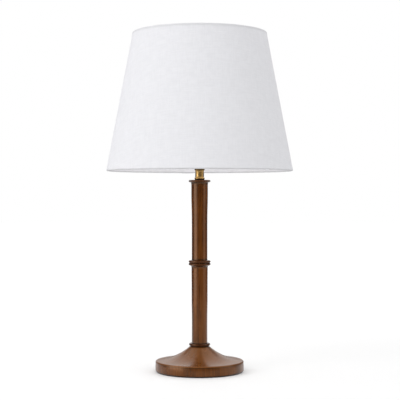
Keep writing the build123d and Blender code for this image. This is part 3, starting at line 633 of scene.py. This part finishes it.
thread_spacing = 0.48 * mm
linen = Finish("white_linen")
flat_place = linen.add("UVMap", uv_map="flat_cut")
across = linen.part_of_place(flat_place, "X")
down = linen.part_of_place(flat_place, "Y")
warp_wander = linen.noise(linen.stretched(flat_place, (1, 0.04, 1)), 900, detail=2)
weft_wander = linen.noise(linen.stretched(flat_place, (0.04, 1, 1)), 900, detail=2)
warp = linen.maths("SINE", across * (pi / thread_spacing) + warp_wander * 2.2)
weft = linen.maths("SINE", down * (pi / thread_spacing) + weft_wander * 2.2)
weave = linen.maths("ABSOLUTE", warp * weft)
slubs = (linen.noise(linen.stretched(flat_place, (1, 0.07, 1)), 520, detail=3, roughness=0.65)
         + linen.noise(linen.stretched(flat_place, (0.07, 1, 1)), 520, detail=3, roughness=0.65))
clouding = linen.noise(flat_place, 95, detail=4, roughness=0.6)
cloth_tone = linen.rise(slubs * 0.35 + clouding * 0.30, 0.38, 0.62)
linen_colour = linen.mix((0.835, 0.835, 0.865, 1), (0.885, 0.885, 0.915, 1), cloth_tone)
linen_colour = linen.mix(linen_colour, (0.74, 0.74, 0.76, 1), (1 - weave) * 0.12)
cloth_height = linen.part_of_place(linen.here(), "Z")
# the rolled rims are painted darker, as painted shade under the bottom roll and on the top roll
painted_rim_shade = [(skin_low.z - 2.7 * mm, 2.2 * mm, 0.6), (skin_high.z, 4.5 * mm, 0.35)]
linen_sockets = {
    "Base Color": linen.darkened(linen_colour, (0.55, 0.55, 0.56, 1), cloth_height, painted_rim_shade),
    "Roughness": 0.85,
    "Specular IOR Level": 0.25,
}
cloth.data.materials.append(linen.surface(linen_sockets, weave + slubs * 0.5, 0.08 * mm))
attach(cloth, "shade")
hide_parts("shade_fabric", "shade_top_hem", "shade_bottom_hem")

# ---------------------------------------------------------------------------- floor
# A plain white sweep. The camera sees it lighter than it lights the lamp, so that it is white
# and still keeps the soft shadow round the foot.
floor_reach = 24.0
floor_albedo = 0.80
seen_albedo = 0.84
near_glow = 0.15
far_glow = 0.36
near_reach = 0.2
far_reach = 2.5
bpy.ops.object.select_all(action="DESELECT")
bpy.ops.mesh.primitive_plane_add(size=floor_reach, location=(0, 0, 0))
floor = bpy.context.object
floor.name = "floor"
paper = Finish("white_floor")
seen = paper.seen()
from_lamp = paper.add("VectorMath", {0: paper.here()}, output="Value", operation="LENGTH")
away = paper.rise(from_lamp, near_reach, far_reach)
glow = paper.mix((near_glow,) * 3 + (1,), (far_glow,) * 3 + (1,), away)
floor_sockets = {
    "Base Color": paper.mix((floor_albedo,) * 3 + (1,), (seen_albedo,) * 3 + (1,), seen),
    "Roughness": 0.9,
    "Specular IOR Level": 0.0,
    "Emission Color": paper.mix((0, 0, 0, 1), glow, seen),
    "Emission Strength": 1.0,
}
floor.data.materials.append(paper.surface(floor_sockets))

# ---------------------------------------------------------------------------- studio
# A bright white room with a large soft lamp at the left, a weaker one at the right and a high one
# at the back. Cards that only reflections see give the polished pieces their bands.


lamps_look_at = Vector((0, 0, 0.3))


def soft_lamp(name, bearing, distance, height, width, tall, radiance):
    """Soft lamp of even brightness, turned to the middle of the object. Its bearing is in degrees
    from the camera's side, positive to the right. Reflections don't see it."""
    turn = radians(bearing)
    place = (distance * sin(turn), -distance * cos(turn), height)
    bpy.ops.object.light_add(type="AREA", location=place)
    lamp = bpy.context.object
    lamp.name = name
    lamp.data.shape = "RECTANGLE"
    lamp.data.size = width
    lamp.data.size_y = tall
    lamp.data.energy = radiance * pi * width * tall
    lamp.rotation_euler = (lamps_look_at - Vector(place)).to_track_quat("-Z", "Y").to_euler()
    lamp.visible_glossy = False


soft_lamp("left_lamp", -50, distance=2.0, height=1.20, width=1.0, tall=1.4, radiance=2.60)
soft_lamp("right_lamp", 55, distance=2.0, height=1.20, width=1.0, tall=1.4, radiance=0.62)
soft_lamp("back_lamp", 180, distance=2.3, height=1.35, width=1.4, tall=0.7, radiance=3.2)


def card_seen_in_reflections(name, first, last, brightness, distance=1.2, high=1.1):
    """Upright card between two bearings, which faces the axis of the object and glows evenly."""
    turn = radians((first + last) / 2)
    width = 2 * distance * tan(radians(last - first) / 2)
    middle = (distance * sin(turn), -distance * cos(turn), high / 2)
    bpy.ops.mesh.primitive_plane_add(size=1, location=middle, rotation=(pi / 2, 0, turn))
    card = bpy.context.object
    card.name = name
    card.scale = (width, high, 1)
    bpy.ops.object.transform_apply(location=True, rotation=True, scale=True)
    paint = Finish(name)
    glow = paint.add("Emission", {"Color": (1, 1, 1, 1), "Strength": brightness})
    paint.add("OutputMaterial", {"Surface": glow})
    card.data.materials.append(paint.material)
    card.visible_camera = False
    card.visible_diffuse = False
    card.visible_shadow = False
    card.visible_transmission = False


dim = 0.15
bpy.ops.object.select_all(action="DESELECT")
card_seen_in_reflections("left_card", -86, -44, brightness=3.0)
card_seen_in_reflections("front_card", -30, 54, dim)
card_seen_in_reflections("right_card", 56, 92, brightness=1.1)
card_seen_in_reflections("left_side_card", -158, -84, dim)
card_seen_in_reflections("right_side_card", 92, 158, dim)
card_seen_in_reflections("back_card", 158, 202, dim, distance=3.2, high=0.43)

world = bpy.data.worlds.new("white_room")
bpy.context.scene.world = world
room = Finish("white_room", world)
room_sides = 0.68
room_ceiling = 0.90
overhead = room.rise(room.part_of_place(room.add("TexCoord", output="Generated"), "Z"), 0.1, 0.9)
light = room_sides - overhead * (room_sides - room_ceiling)
strength = light + room.seen() * (1 - light)
white = room.add("Background", {"Color": (1, 1, 1, 1), "Strength": strength})
room.add("OutputWorld", {"Surface": white})

# ---------------------------------------------------------------------------- camera
# The camera stands in front of the lamp at a little over half its height and looks very
# slightly down.
image_width = 400                 # pixels
focal_length = 1130               # pixels
horizon_row = 197.2
axis_column = 199.6
eye_height = 0.334
eye_distance = 2.167
sensor = 36.0
camera_data = bpy.data.cameras.new("camera")
camera = bpy.data.objects.new("camera", camera_data)
bpy.context.scene.collection.objects.link(camera)
camera_data.sensor_width = sensor
camera_data.lens = focal_length / image_width * sensor
offset = (image_width / 2 - axis_column) / focal_length * eye_distance
pitch = (image_width / 2 - horizon_row) / focal_length
camera.location = (offset, -eye_distance, eye_height)
camera.rotation_euler = (pi / 2 - pitch, 0, 0)
bpy.context.scene.camera = camera
bpy.context.scene.view_settings.view_transform = "Standard"
